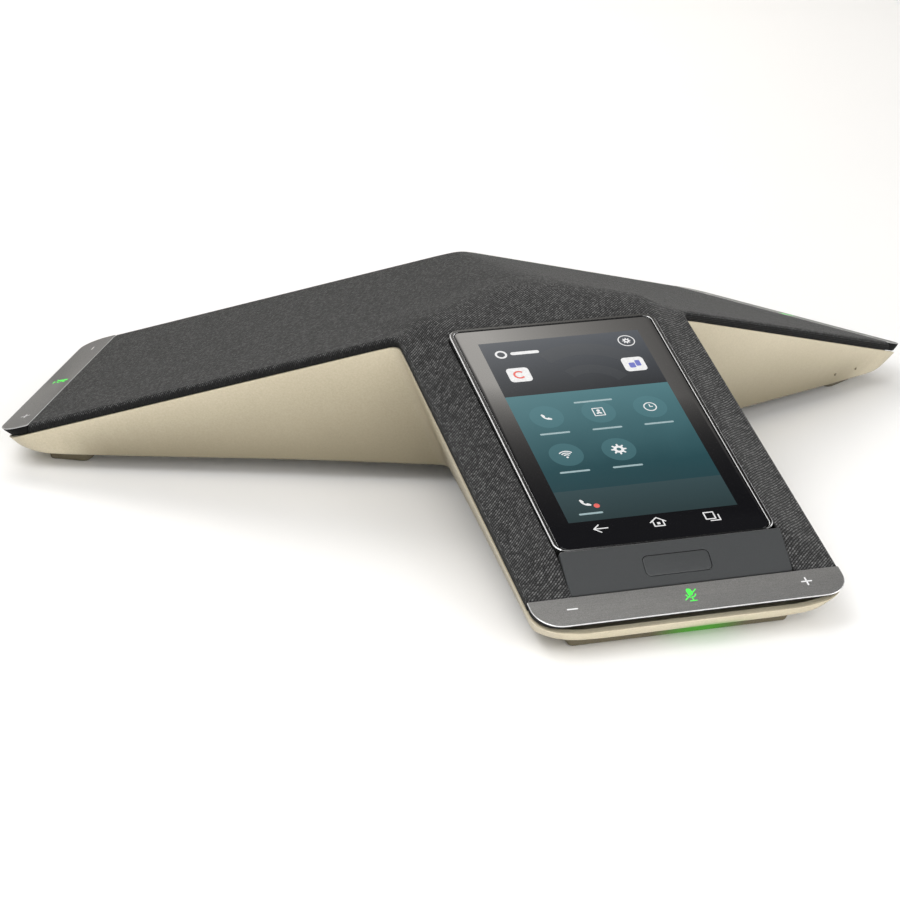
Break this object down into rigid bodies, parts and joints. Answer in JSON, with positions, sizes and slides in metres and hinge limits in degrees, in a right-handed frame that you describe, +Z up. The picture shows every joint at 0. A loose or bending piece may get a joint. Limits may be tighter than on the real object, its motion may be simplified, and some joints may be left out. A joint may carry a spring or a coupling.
{
  "type": "conference desk phone",
  "caption": "Low conference desk phone with spreading sloped arms, a fabric top over a champagne shell, and a tilted touch display on its front arm.",
  "frame": {"origin": "centre of the footprint box, on the table under the feet", "axes": "+Z up, -Y towards the user along the arm with the display, +X to that user's right"},
  "size_m": [0.383, 0.3344, 0.0755],
  "materials": {
    "champagne": "fine satin champagne coat",
    "fabric": "charcoal heather twill",
    "strip": "fine brushed, dark anodised",
    "black": "fine matt",
    "graphite": "satin",
    "glass": "polished black cover glass",
    "panel": "lit display",
    "rubber": "matt",
    "diffuser": "frosted light guide",
    "board": "solder mask",
    "steel": "plated",
    "heat_sink": "plain",
    "magnet": "plated",
    "cone": "coated paper",
    "polyimide": "film"
  },
  "bodies": {
    "phone": {"antenna_left": "board", "antenna_right": "board", "chin_plate": "graphite", "cover_glass": "glass", "display_bezel": "graphite", "display_flex": "polyimide", "display_gasket": "rubber", "display_panel": "panel", "display_tray": "steel", "ethernet_jack": "steel", "fabric_cover": "fabric", "foot_front": "rubber", "foot_left": "rubber", "foot_right": "rubber", "heat_spreader": "heat_sink", "housing_screw_front_a": "steel", "housing_screw_front_b": "steel", "housing_screw_left_a": "steel", "housing_screw_left_b": "steel", "housing_screw_right_a": "steel", "housing_screw_right_b": "steel", "key_switch": "board", "light_bar_front": "diffuser", "light_bar_left": "diffuser", "light_bar_right": "diffuser", "lower_housing": "champagne", "main_board": "board", "microphone_front": "board", "microphone_left": "board", "microphone_right": "board", "port_bay": "black", "shield_can": "steel", "speaker_basket": "steel", "speaker_chamber": "black", "speaker_gasket": "rubber", "speaker_magnet": "magnet", "speaker_spider": "cone", "speaker_surround": "rubber", "strip_base_front": "black", "strip_base_left": "black", "strip_base_right": "black", "strip_flex_front": "polyimide", "strip_flex_left": "polyimide", "strip_flex_right": "polyimide", "top_frame": "black", "touch_board_front": "board", "touch_board_left": "board", "touch_board_right": "board", "touch_strip_front": "strip", "touch_strip_left": "strip", "touch_strip_right": "strip", "usb_a_port": "steel", "usb_c_port": "steel"},
    "function_key": {"function_key": "graphite"},
    "speaker_cone": {"speaker_cone": "cone"}
  },
  "joints": [
    {"name": "function_key_press", "type": "slide", "parent": "phone", "child": "function_key", "axis": [0, 0.6561, -0.7547], "range_m": [0, 0.0005], "stiffness_N_per_m": 600},
    {"name": "speaker_cone_stroke", "type": "slide", "parent": "phone", "child": "speaker_cone", "axis": [0, 0, 1], "range_m": [-0.0015, 0.0015], "stiffness_N_per_m": 1500}
  ]
}
